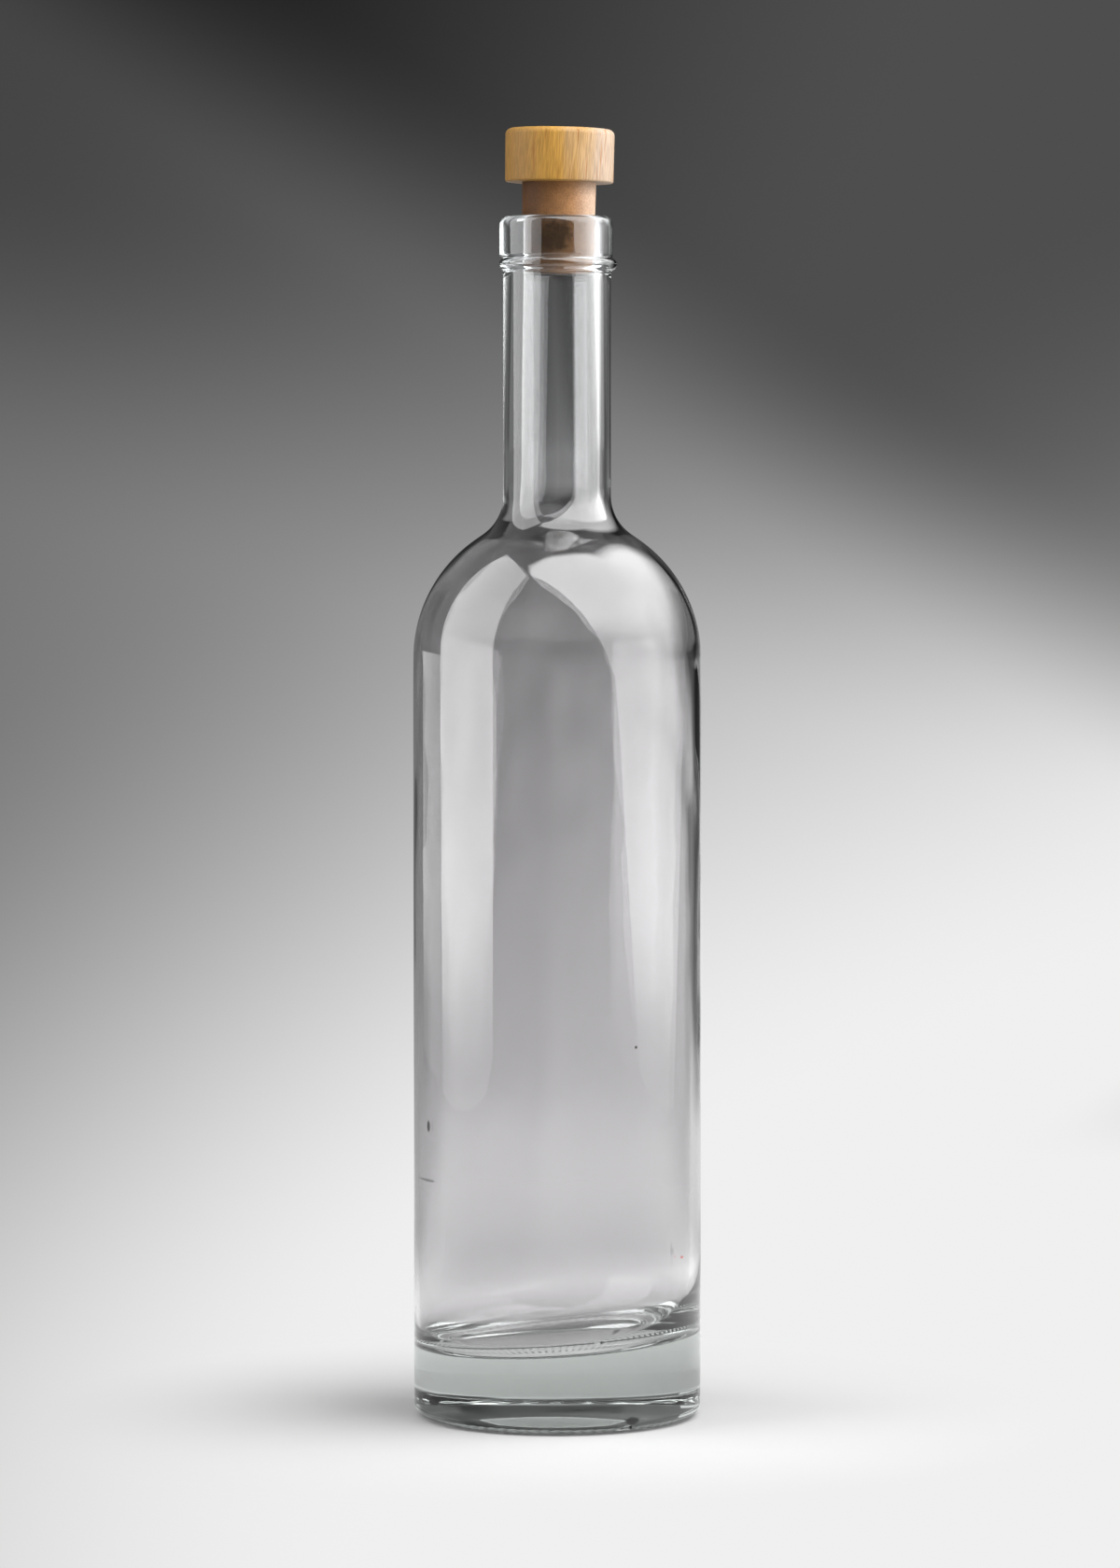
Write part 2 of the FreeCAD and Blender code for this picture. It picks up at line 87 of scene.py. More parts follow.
def pick_vertices(wanted: Callable[[Vector], bool]) -> int:
    """Selects the active mesh's vertices that pass a test, and no others, in edit mode.

    Args:
        wanted: the test, given a vertex's place.

    Returns:
        How many were selected.
    """
    bpy.ops.mesh.select_mode(type="VERT")
    bpy.ops.mesh.select_all(action="DESELECT")
    mesh = bmesh.from_edit_mesh(bpy.context.active_object.data)
    count = 0
    for vertex in mesh.verts:
        if wanted(vertex.co):
            vertex.select_set(True)
            count += 1
    mesh.select_flush(True)
    bmesh.update_edit_mesh(bpy.context.active_object.data)
    return count


def apply_modifier(piece: bpy.types.Object, change: Change, **settings: object) -> None:
    """Adds a modifier to a piece and applies it.

    Args:
        piece: the piece.
        change: which modifier.
        settings: its settings.
    """
    start_clean()
    bpy.context.view_layer.objects.active = piece
    piece.select_set(True)
    modifier = piece.modifiers.new(change.name.title(), change.value)
    for name, value in settings.items():
        setattr(modifier, name, value)
    bpy.ops.object.modifier_apply(modifier=modifier.name)


def arc(centre: Pair, radius: float, start: float, end: float,
        steps: int) -> list[Pair]:
    """Points along an arc, in the (radius, height) plane.

    Args:
        centre: its centre.
        radius: its radius.
        start: the angle of its first point, in degrees from outwards.
        end: the angle of its last point.
        steps: how many steps to take.

    Returns:
        The points, both ends among them.
    """
    angles = (math.radians(start + (end - start) * i / steps) for i in range(steps + 1))
    return [(centre[0] + radius * math.cos(a), centre[1] + radius * math.sin(a))
            for a in angles]


def line(start: Pair, end: Pair,
         steps: int) -> list[Pair]:
    """Evenly spaced points from one point to another, both ends among them."""
    return [(start[0] + (end[0] - start[0]) * i / steps,
             start[1] + (end[1] - start[1]) * i / steps) for i in range(steps + 1)]


def smooth_step(low: float, high: float, value: float) -> float:
    """Goes smoothly from 0 at low to 1 at high."""
    t = min(max((value - low) / (high - low), 0.0), 1.0)
    return t * t * (3.0 - 2.0 * t)


@dataclass
class Ring:
    """One ring of a turned form, in millimetres."""

    radius: float
    height: float
    shift: float = 0.0
    slope: float = 0.0


def loft(rings: list[Ring], sides: int) -> None:
    """Draws a closed form from ring to ring as the active mesh, and leaves it in edit mode.

    Args:
        rings: the rings in order. The first and the last shrink to a point.
        sides: how many sides each ring has.
    """
    start_clean()
    first = rings[0]
    bpy.ops.mesh.primitive_circle_add(
        vertices=sides, radius=first.radius * MM, fill_type="TRIFAN",
        location=(first.shift * MM, 0.0, first.height * MM))
    bpy.ops.object.transform_apply(location=True)
    bpy.ops.object.mode_set(mode="EDIT")
    bpy.ops.mesh.select_mode(type="EDGE")
    bpy.ops.mesh.select_all(action="DESELECT")
    mesh = bmesh.from_edit_mesh(bpy.context.active_object.data)
    for edge in mesh.edges:
        edge.select_set(edge.is_boundary)
    bmesh.update_edit_mesh(bpy.context.active_object.data)
    for before, after in zip(rings, rings[1:]):
        step_ring(before, after)
    bpy.ops.mesh.merge(type="CENTER")


def step_ring(before: Ring, after: Ring) -> None:
    """Extrudes the selected ring and brings the new one to its size, place and slope.

    Args:
        before: the ring that is selected.
        after: the ring to make.
    """
    middle = (before.shift * MM, 0.0, before.height * MM)
    turn_back = math.atan(before.slope)
    turn = math.atan(after.slope)
    bpy.ops.mesh.extrude_edges_move()
    if before.slope:
        bpy.ops.transform.rotate(value=-turn_back, orient_axis="Y", center_override=middle)
    grow = after.radius / before.radius
    stretch = math.cos(turn_back) / math.cos(turn)
    bpy.ops.transform.resize(value=(grow * stretch, grow, 1.0), center_override=middle)
    bpy.ops.transform.translate(value=((after.shift - before.shift) * MM, 0.0,
                                       (after.height - before.height) * MM))
    if after.slope:
        middle = (after.shift * MM, 0.0, after.height * MM)
        bpy.ops.transform.rotate(value=turn, orient_axis="Y", center_override=middle)


# ---------------------------------------------------------------- finishes

class NodeBoard:
    """A small helper that lays out the nodes of a light or a material."""

    def __init__(self, tree: bpy.types.NodeTree) -> None:
        """Takes the tree to lay out."""
        self.nodes = tree.nodes
        self.links = tree.links

    def add(self, kind: str, **settings: object) -> bpy.types.Node:
        """Adds a node.

        Args:
            kind: its type.
            settings: its settings.

        Returns:
            The node.
        """
        node = self.nodes.new(kind)
        for name, value in settings.items():
            setattr(node, name, value)
        return node

    def join(self, source: bpy.types.NodeSocket, target: bpy.types.NodeSocket) -> None:
        """Links one socket to another."""
        self.links.new(source, target)

    def feed(self, value: object, target: bpy.types.NodeSocket) -> None:
        """Gives a socket a link or a plain value.

        Args:
            value: the socket to link, or the value.
            target: the socket that gets it.
        """
        if isinstance(value, bpy.types.NodeSocket):
            self.join(value, target)
        else:
            target.default_value = value

    def math(self, operation: str, *values: object) -> bpy.types.NodeSocket:
        """Adds a Math node.

        Args:
            operation: what it works out.
            values: its inputs in order.

        Returns:
            Its result.
        """
        node = self.add("ShaderNodeMath", operation=operation)
        for value, target in zip(values, node.inputs):
            self.feed(value, target)
        return node.outputs[0]

    def product(self, first: object, *others: object) -> bpy.types.NodeSocket:
        """Multiplies values in order.

        Args:
            first: the first value.
            others: the others.

        Returns:
            Their product.
        """
        for other in others:
            first = self.math("MULTIPLY", first, other)
        return first

    def length(self, first: bpy.types.NodeSocket,
               second: bpy.types.NodeSocket) -> bpy.types.NodeSocket:
        """The length of a flat vector with these two parts."""
        return self.math("SQRT", self.math("ADD", self.product(first, first),
                                           self.product(second, second)))

    def span(self, value: object, low: float, high: float, to_low: float = 0.0,
             to_high: float = 1.0, smooth: bool = True) -> bpy.types.NodeSocket:
        """Maps a value from one range to another, held at both ends.

        Args:
            value: the value.
            low: where the first range starts.
            high: where it ends.
            to_low: the result at its start.
            to_high: the result at its end.
            smooth: whether it eases in and out.

        Returns:
            The result.
        """
        node = self.add("ShaderNodeMapRange", clamp=True,
                        interpolation_type="SMOOTHSTEP" if smooth else "LINEAR")
        self.feed(value, node.inputs["Value"])
        for name, number in (("From Min", low), ("From Max", high),
                             ("To Min", to_low), ("To Max", to_high)):
            node.inputs[name].default_value = number
        return node.outputs[0]

    def noise(self, point: bpy.types.NodeSocket, scale: Triple,
              detail: float = 2.0, slant: float = 0.0) -> bpy.types.NodeSocket:
        """Reads a noise that is stretched along the axes.

        Args:
            point: where to read it.
            scale: how finely it varies along each axis, per metre.
            detail: how many finer layers it has.
            slant: how far its upright grain leans towards +X, in degrees.

        Returns:
            Its value, from 0 to 1 and mostly near 0.5.
        """
        mapping = self.add("ShaderNodeMapping")
        turned = self.add("ShaderNodeMapping")
        turned.inputs["Rotation"].default_value = (0.0, -math.radians(slant), 0.0)
        mapping.inputs["Scale"].default_value = scale
        self.join(point, turned.inputs["Vector"])
        self.join(turned.outputs["Vector"], mapping.inputs["Vector"])
        noise = self.add("ShaderNodeTexNoise")
        noise.inputs["Scale"].default_value = 1.0
        noise.inputs["Detail"].default_value = detail
        self.join(mapping.outputs["Vector"], noise.inputs["Vector"])
        return noise.outputs[0]

    def blend(self, share: object, first: object, second: object) -> bpy.types.NodeSocket:
        """Mixes two colours.

        Args:
            share: how much of the second there is.
            first: the first colour.
            second: the second colour.

        Returns:
            The mixed colour.
        """
        node = self.add("ShaderNodeMix", data_type="RGBA")
        self.feed(share, node.inputs[0])
        self.feed(first, node.inputs[6])
        self.feed(second, node.inputs[7])
        return node.outputs[2]

    def bump(self, height: bpy.types.NodeSocket, strength: float,
             distance: float) -> bpy.types.NodeSocket:
        """Turns a height into a normal.

        Args:
            height: the height, from 0 to 1.
            strength: how strongly it shows.
            distance: what a height of 1 stands for, in metres.

        Returns:
            The normal.
        """
        node = self.add("ShaderNodeBump")
        node.inputs["Strength"].default_value = strength
        node.inputs["Distance"].default_value = distance
        self.join(height, node.inputs["Height"])
        return node.outputs[0]

    def object_point(self) -> bpy.types.NodeSocket:
        """The shaded point in the piece's own coordinates."""
        return self.add("ShaderNodeTexCoord").outputs["Object"]

    def split(self, vector: bpy.types.NodeSocket) -> list[bpy.types.NodeSocket]:
        """The three parts of a vector."""
        node = self.add("ShaderNodeSeparateXYZ")
        self.join(vector, node.inputs[0])
        return list(node.outputs)


class MaterialBoard(NodeBoard):
    """The board of a new material."""

    def __init__(self, name: str) -> None:
        """Starts an empty material.

        Args:
            name: its name.
        """
        self.material = bpy.data.materials.new(name)
        self.material.use_nodes = True
        super().__init__(self.material.node_tree)
        self.nodes.clear()
        self.output = self.add("ShaderNodeOutputMaterial")

    def dull(self, colour: bpy.types.NodeSocket, shade: bpy.types.NodeSocket,
             normal: bpy.types.NodeSocket, roughness: float) -> bpy.types.Material:
        """Ends the material as an unpolished surface.

        Args:
            colour: its colour.
            shade: what to multiply the colour by.
            normal: its normal.
            roughness: how rough it is.

        Returns:
            The material.
        """
        scaled = self.add("ShaderNodeVectorMath", operation="SCALE")
        self.join(colour, scaled.inputs[0])
        self.join(shade, scaled.inputs["Scale"])
        shader = self.add("ShaderNodeBsdfPrincipled")
        shader.inputs["Roughness"].default_value = roughness
        shader.inputs["Specular IOR Level"].default_value = 0.15
        self.join(scaled.outputs[0], shader.inputs["Base Color"])
        self.join(normal, shader.inputs["Normal"])
        self.join(shader.outputs[0], self.output.inputs["Surface"])
        return self.material


@dataclass(frozen=True)
class Mark:
    """A small mark, or a spot of painted shade or painted reflection, on the front of the glass:
    its middle, its half sizes and its edge.
    """

    across: float
    up: float
    half_width: float
    half_height: float
    colour: Colour = (0.02, 0.02, 0.02, 1.0)
    strength: float = 1.0
    soft: float = 0.4
    ragged: float = 0.0


@dataclass(frozen=True)
class ClearGlass:
    """Soda-lime glass with a faint grey-green body tint, painted shade on the body, the lip, the
    foot and the notch, a painted dark reflection, and a few small marks.
    """

    refraction: float = 1.52
    # Painted shade: the body and the lip are tinted darker than the neck.
    skin: Colour = (0.735, 0.725, 0.735, 1.0)
    neck_skin: Colour = (0.965, 0.965, 0.975, 1.0)
    neck_start: Pair = (0.222, 0.246)
    lip_skin: Colour = (0.73, 0.74, 0.76, 1.0)
    lip_start: Pair = (0.290, 0.296)
    tint: Colour = (0.60, 0.67, 0.63, 1.0)
    tint_density: float = 16.0
    outer_radius: Pair = (0.0355, 0.0362)
    heel_top: Pair = (0.005, 0.006)
    # Painted shade: dark dashes round the foot, as many as the knurls.
    dashes: float = 80.0
    dash_low: Pair = (0.0003, 0.0006)
    dash_high: Pair = (0.0013, 0.0016)
    dash_shade_colour: Colour = (0.03, 0.03, 0.03, 1.0)
    dash_shade_strength: float = 0.75
    marks: tuple[Mark, ...] = (
        Mark(-0.0326, 0.0760, 0.00045, 0.0017, soft=0.3),
        Mark(-0.0330, 0.0622, 0.0026, 0.00040, strength=0.8, ragged=0.8),
        Mark(0.0197, 0.0974, 0.00036, 0.00042, soft=0.2),
        Mark(0.0315, 0.0429, 0.00042, 0.00042, (0.75, 0.10, 0.08, 1.0), soft=0.2),
        # Painted reflection: a soft dark streak on the right of the body.
        Mark(0.0290, 0.0445, 0.0006, 0.0028, strength=0.35, soft=0.9, ragged=1.4),
        # Painted shade: the dark spot in the heel's notch.
        Mark(0.0188, 0.0032, 0.0022, 0.0012, ragged=0.2),
    )

    def with_marks_and_shade(self, board: NodeBoard, skin: bpy.types.NodeSocket,
                   point: bpy.types.NodeSocket) -> bpy.types.NodeSocket:
        """Lays the marks, some of them painted shade or a painted reflection, and the painted
        dark dashes round the foot over the glass's colour.

        Args:
            board: the material's nodes.
            skin: the colour without marks.
            point: the shaded point.

        Returns:
            The colour with them.
        """
        across, along, up = board.split(point)
        rough = board.noise(point, (1500.0, 1500.0, 500.0), 3.0)
        outer = board.math("MAXIMUM",
                           board.span(board.length(across, along), *self.outer_radius),
                           board.span(up, *self.heel_top, 1.0, 0.0))
        front = board.product(board.span(along, -0.002, 0.0, 1.0, 0.0), outer)
        for mark in self.marks:
            side = board.math("DIVIDE", board.math("SUBTRACT", across, mark.across),
                              mark.half_width)
            rise = board.math("DIVIDE", board.math("SUBTRACT", up, mark.up), mark.half_height)
            spread = board.math("ADD", board.length(side, rise), board.math(
                "MULTIPLY_ADD", rough, 2.0 * mark.ragged, -mark.ragged))
            share = board.span(spread, 1.0 - mark.soft, 1.0, mark.strength, 0.0)
            skin = board.blend(board.product(share, front), skin, mark.colour)
        # Painted shade: dark dashes round the foot, one per knurl.
        wave = board.math("SINE", board.product(board.math("ARCTAN2", along, across),
                                                self.dashes))
        band = board.product(board.span(up, *self.dash_low),
                             board.span(up, *self.dash_high, 1.0, 0.0))
        share = board.product(board.span(wave, 0.0, 0.4), band, self.dash_shade_strength)
        return board.blend(share, skin, self.dash_shade_colour)

    def material(self) -> bpy.types.Material:
        """Builds the material.

        Returns:
            The material.
        """
        board = MaterialBoard("clear_glass")
        point = board.object_point()
        up = board.split(point)[2]
        shader = board.add("ShaderNodeBsdfPrincipled")
        # Painted shade: darker on the body and the lip than on the neck.
        skin = board.blend(board.span(up, *self.neck_start), self.skin, self.neck_skin)
        skin = board.blend(board.span(up, *self.lip_start), skin, self.lip_skin)
        board.join(self.with_marks_and_shade(board, skin, point), shader.inputs["Base Color"])
        shader.inputs["Roughness"].default_value = 0.0
        shader.inputs["Transmission Weight"].default_value = 1.0
        shader.inputs["IOR"].default_value = self.refraction
        absorb = board.add("ShaderNodeVolumeAbsorption")
        absorb.inputs["Color"].default_value = self.tint
        absorb.inputs["Density"].default_value = self.tint_density
        board.join(shader.outputs[0], board.output.inputs["Surface"])
        board.join(absorb.outputs[0], board.output.inputs["Volume"])
        return board.material


@dataclass(frozen=True)
class TurnedWood:
    """Pale turned wood with a slanting grain, painted darker towards -X as shade and paler
    towards +X as a sheen.
    """

    shaded_brown: Colour = (0.20, 0.105, 0.024, 1.0)
    honey: Colour = (0.36, 0.195, 0.042, 1.0)
    sheen_pale: Colour = (0.325, 0.243, 0.176, 1.0)
    pore: Colour = (0.26, 0.105, 0.022, 1.0)
    slant: float = 4.5
    roughness: float = 0.48

    def material(self) -> bpy.types.Material:
        """Builds the material.

        Returns:
            The material.
        """
        board = MaterialBoard("turned_wood")
        point = board.object_point()
        across = board.split(point)[0]
        drift = board.noise(point, (160.0, 160.0, 26.0), 2.0, self.slant)
        place = board.math("ADD", across, board.math("MULTIPLY_ADD", drift, 0.012, -0.006))
        # Painted light: darker towards -X as shade, paler towards +X as a sheen from the
        # right-hand panel.
        colour = board.blend(board.span(place, -0.0135, 0.0005), self.shaded_brown, self.honey)
        colour = board.blend(board.span(place, 0.0005, 0.0115), colour, self.sheen_pale)
        streaks = board.noise(point, (1150.0, 1150.0, 55.0), 2.5, self.slant)
        fibres = board.noise(point, (3600.0, 3600.0, 210.0), 2.0, self.slant)
        tufts = board.noise(point, (520.0, 520.0, 70.0), 1.0, self.slant)
        dark = board.product(board.span(streaks, 0.53, 0.70),
                             board.span(tufts, 0.38, 0.62, 0.25, 0.85))
        colour = board.blend(dark, colour, self.pore)
        shade = board.span(fibres, 0.34, 0.68, 0.80, 1.14)
        relief = board.math("SUBTRACT", fibres, board.product(dark, 1.5))
        return board.dull(colour, shade, board.bump(relief, 0.5, 0.00006), self.roughness)


@dataclass(frozen=True)
class GroundCork:
    """Fine ground cork, painted darker towards -X as shade and paler towards +X as a sheen, with
    a darker patch on its front inside the lip.
    """

    shaded_brown: Colour = (0.060, 0.022, 0.004, 1.0)
    tan: Colour = (0.31, 0.155, 0.065, 1.0)
    pale: Colour = (0.43, 0.30, 0.215, 1.0)
    dark_patch: Colour = (0.055, 0.030, 0.012, 1.0)
    dark_patch_place: Pair = (-0.0006, 0.3007)
    dark_patch_reach: Pair = (0.0042, 0.0034)
    roughness: float = 0.62

    def material(self) -> bpy.types.Material:
        """Builds the material.

        Returns:
            The material.
        """
        board = MaterialBoard("ground_cork")
        point = board.object_point()
        across, along, up = board.split(point)
        # Painted light: darker towards -X as shade, paler towards +X as a sheen from the
        # right-hand panel.
        colour = board.blend(board.span(across, -0.008, 0.0045), self.shaded_brown, self.tan)
        colour = board.blend(board.span(across, 0.003, 0.0095), colour, self.pale)
        grains = board.noise(point, (2600.0, 2600.0, 2600.0), 3.0)
        clouds = board.noise(point, (320.0, 320.0, 320.0), 2.0)
        # A darker patch on the front, inside the lip.
        reach_x, reach_z = self.dark_patch_reach
        side = board.math("DIVIDE", board.math("SUBTRACT", across, self.dark_patch_place[0]), reach_x)
        rise = board.math("DIVIDE", board.math("SUBTRACT", up, self.dark_patch_place[1]), reach_z)
        spread = board.math("ADD", board.product(side, side), board.product(rise, rise))
        spread = board.math("ADD", spread, board.math("MULTIPLY_ADD", clouds, 3.0, -1.5))
        front = board.span(along, -0.002, 0.002, 0.8, 0.0)
        patch_share = board.product(board.span(spread, 0.35, 1.45, 1.0, 0.0), front)
        colour = board.blend(patch_share, colour, self.dark_patch)
        shade = board.product(board.span(grains, 0.30, 0.70, 0.78, 1.20, False),
                              board.span(clouds, 0.3, 0.7, 0.90, 1.08))
        return board.dull(colour, shade, board.bump(grains, 0.4, 0.00008), self.roughness)


@dataclass(frozen=True)
class Sweep:
    """One soft-edged step of the backdrop's brightness."""

    amount: float
    lean: float
    middle: float
    spread: float


@dataclass(frozen=True)
class PaleStage:
    """A pale floor that darkens softly up the backdrop and keeps the object's shadow; the
    backdrop's tones and the floor's glows in front of and under the glass are painted light and
    shade.
    """

    dark: float = 0.10
    # Painted light and shade: soft steps of brightness up the backdrop.
    sweeps: tuple[Sweep, ...] = (
        Sweep(0.2942, 0.434, 0.0580, 0.1319),
        Sweep(0.2057, 2.500, -0.1114, 0.4062),
        Sweep(0.1710, -0.667, -0.0329, 0.0454),
        Sweep(0.1692, -0.253, 0.0028, 0.0632),
    )
    reach: float = 1.504
    level: float = 0.241
    side_limit: float = 0.1
    highest: float = 0.085
    floor_colour: float = 0.385
    white: float = 0.84
    near: Pair = (0.045, 0.14)
    near_mirrored: Pair = (0.12, 0.50)
    flag_right: float = 0.38
    flag_start: Pair = (0.25, 0.40)
    flag_end: Pair = (0.55, 0.72)
    wing_left: Pair = (0.20, 0.34)
    wing_right: Pair = (0.42, 0.55)
    wing_level: float = 0.46
    wing_height: Pair = (0.19, 0.29)
    under_glass: Triple = (0.034, 0.044, 0.85)
    front_start: Pair = (0.045, 0.30)
    front_end: Pair = (0.92, 0.62)
    front_back: Pair = (0.35, 0.05)
    ceiling_span: Pair = (0.75, 1.5)
    ceiling_left: float = 0.56
    ceiling_right: float = 0.34

    def flags(self, board: NodeBoard, across: bpy.types.NodeSocket,
              along: bpy.types.NodeSocket, radius: bpy.types.NodeSocket) -> bpy.types.NodeSocket:
        """Paints shade on the backdrop behind and to each side, which gives the glass its dark
        edges.

        Args:
            board: the material's nodes.
            across: the point's place from left to right.
            along: the point's place from front to back.
            radius: its distance from the middle.

        Returns:
            What to multiply the tone by.
        """
        turn = board.math("DIVIDE", board.math("ABSOLUTE", across), radius)
        inner = board.span(turn, *self.flag_start)
        outer = board.span(turn, *self.flag_end)
        behind = board.span(along, 0.55, 1.0)
        share = board.product(board.math("SUBTRACT", inner, outer), behind)
        depth = board.span(across, -0.05, 0.05, 0.0, self.flag_right - 1.0)
        return board.math("MULTIPLY_ADD", share, depth, 1.0)

    def material(self) -> bpy.types.Material:
        """Builds the material.

        Returns:
            The material.
        """
        board = MaterialBoard("pale_stage")
        across, along, up = board.split(board.object_point())
        radius = board.length(across, along)
        depth = board.math("ADD", radius, self.reach)
        fall = board.math("DIVIDE", board.math("SUBTRACT", self.level, up), depth)
        fall = board.math("MAXIMUM", fall, -self.highest)
        side = board.math("DIVIDE", across, depth)
        side = board.math("MAXIMUM", board.math("MINIMUM", side, self.side_limit),
                          -self.side_limit)
        tone: object = self.dark
        for sweep in self.sweeps:
            place = board.math("MULTIPLY_ADD", side, sweep.lean, fall)
            step = board.span(place, sweep.middle - sweep.spread / 2,
                              sweep.middle + sweep.spread / 2, 0.0, sweep.amount)
            tone = board.math("ADD", tone, step)
        tone = board.product(tone, self.flags(board, across, along, radius))
        turn = board.math("DIVIDE", across, radius)
        # Painted light: brighter patches low on the backdrop to each side.
        wing_light = board.math("MAXIMUM", board.span(turn, *self.wing_right),
                          board.span(board.product(turn, -1.0), *self.wing_left))
        wing_light = board.product(wing_light, board.span(up, *self.wing_height),
                             board.span(along, 0.0, 0.5, 0.0, self.wing_level))
        tone = board.math("MAXIMUM", tone, wing_light)
        # Painted light: an even tone high up, brighter on the left.
        high = board.span(up, *self.ceiling_span)
        ceiling = board.span(across, -1.0, 1.0, self.ceiling_left, self.ceiling_right)
        tone = board.math("ADD", board.product(tone, board.math("SUBTRACT", 1.0, high)),
                          board.product(ceiling, high))
        light = board.math("MULTIPLY_ADD", tone, 1 / 1.055, 0.055 / 1.055)
        light = board.math("POWER", light, 2.4)
        rays = board.add("ShaderNodeLightPath")
        seen = board.math("MAXIMUM", rays.outputs["Is Camera Ray"],
                          board.math("MAXIMUM", rays.outputs["Is Glossy Ray"],
                                     rays.outputs["Is Transmission Ray"]))
        # Painted light: the floor in front of the glass glows for rays reflected in it.
        front = board.math("SUBTRACT", board.span(radius, *self.front_start),
                           board.span(radius, self.front_end[1], self.front_end[0]))
        near_side = board.span(along, self.front_back[1], self.front_back[0], 1.0, 0.0)
        front = board.product(front, near_side, rays.outputs["Is Glossy Ray"])
        light = board.math("ADD", front, light)
        # Painted light: the floor under the glass glows for rays seen through it.
        inner, outer, level = self.under_glass
        glow_under_glass = board.product(rays.outputs["Is Transmission Ray"],
                              board.span(radius, inner, outer, level, 0.0))
        seen_far = board.product(board.span(radius, *self.near), rays.outputs["Is Camera Ray"])
        glowing = board.math("MAXIMUM", seen_far, board.span(radius, *self.near_mirrored))
        glowing = board.math("MAXIMUM", glowing, board.math("MAXIMUM", front, glow_under_glass))
        share = board.product(seen, glowing)
        diffuse = board.add("ShaderNodeBsdfDiffuse")
        board.join(board.product(light, self.floor_colour / self.white), diffuse.inputs["Color"])
        glow = board.add("ShaderNodeEmission")
        board.join(light, glow.inputs["Color"])
        mix = board.add("ShaderNodeMixShader")
        board.join(share, mix.inputs[0])
        board.join(diffuse.outputs[0], mix.inputs[1])
        board.join(glow.outputs[0], mix.inputs[2])
        board.join(mix.outputs[0], board.output.inputs["Surface"])
        return board.material


# ---------------------------------------------------------------- the bottle

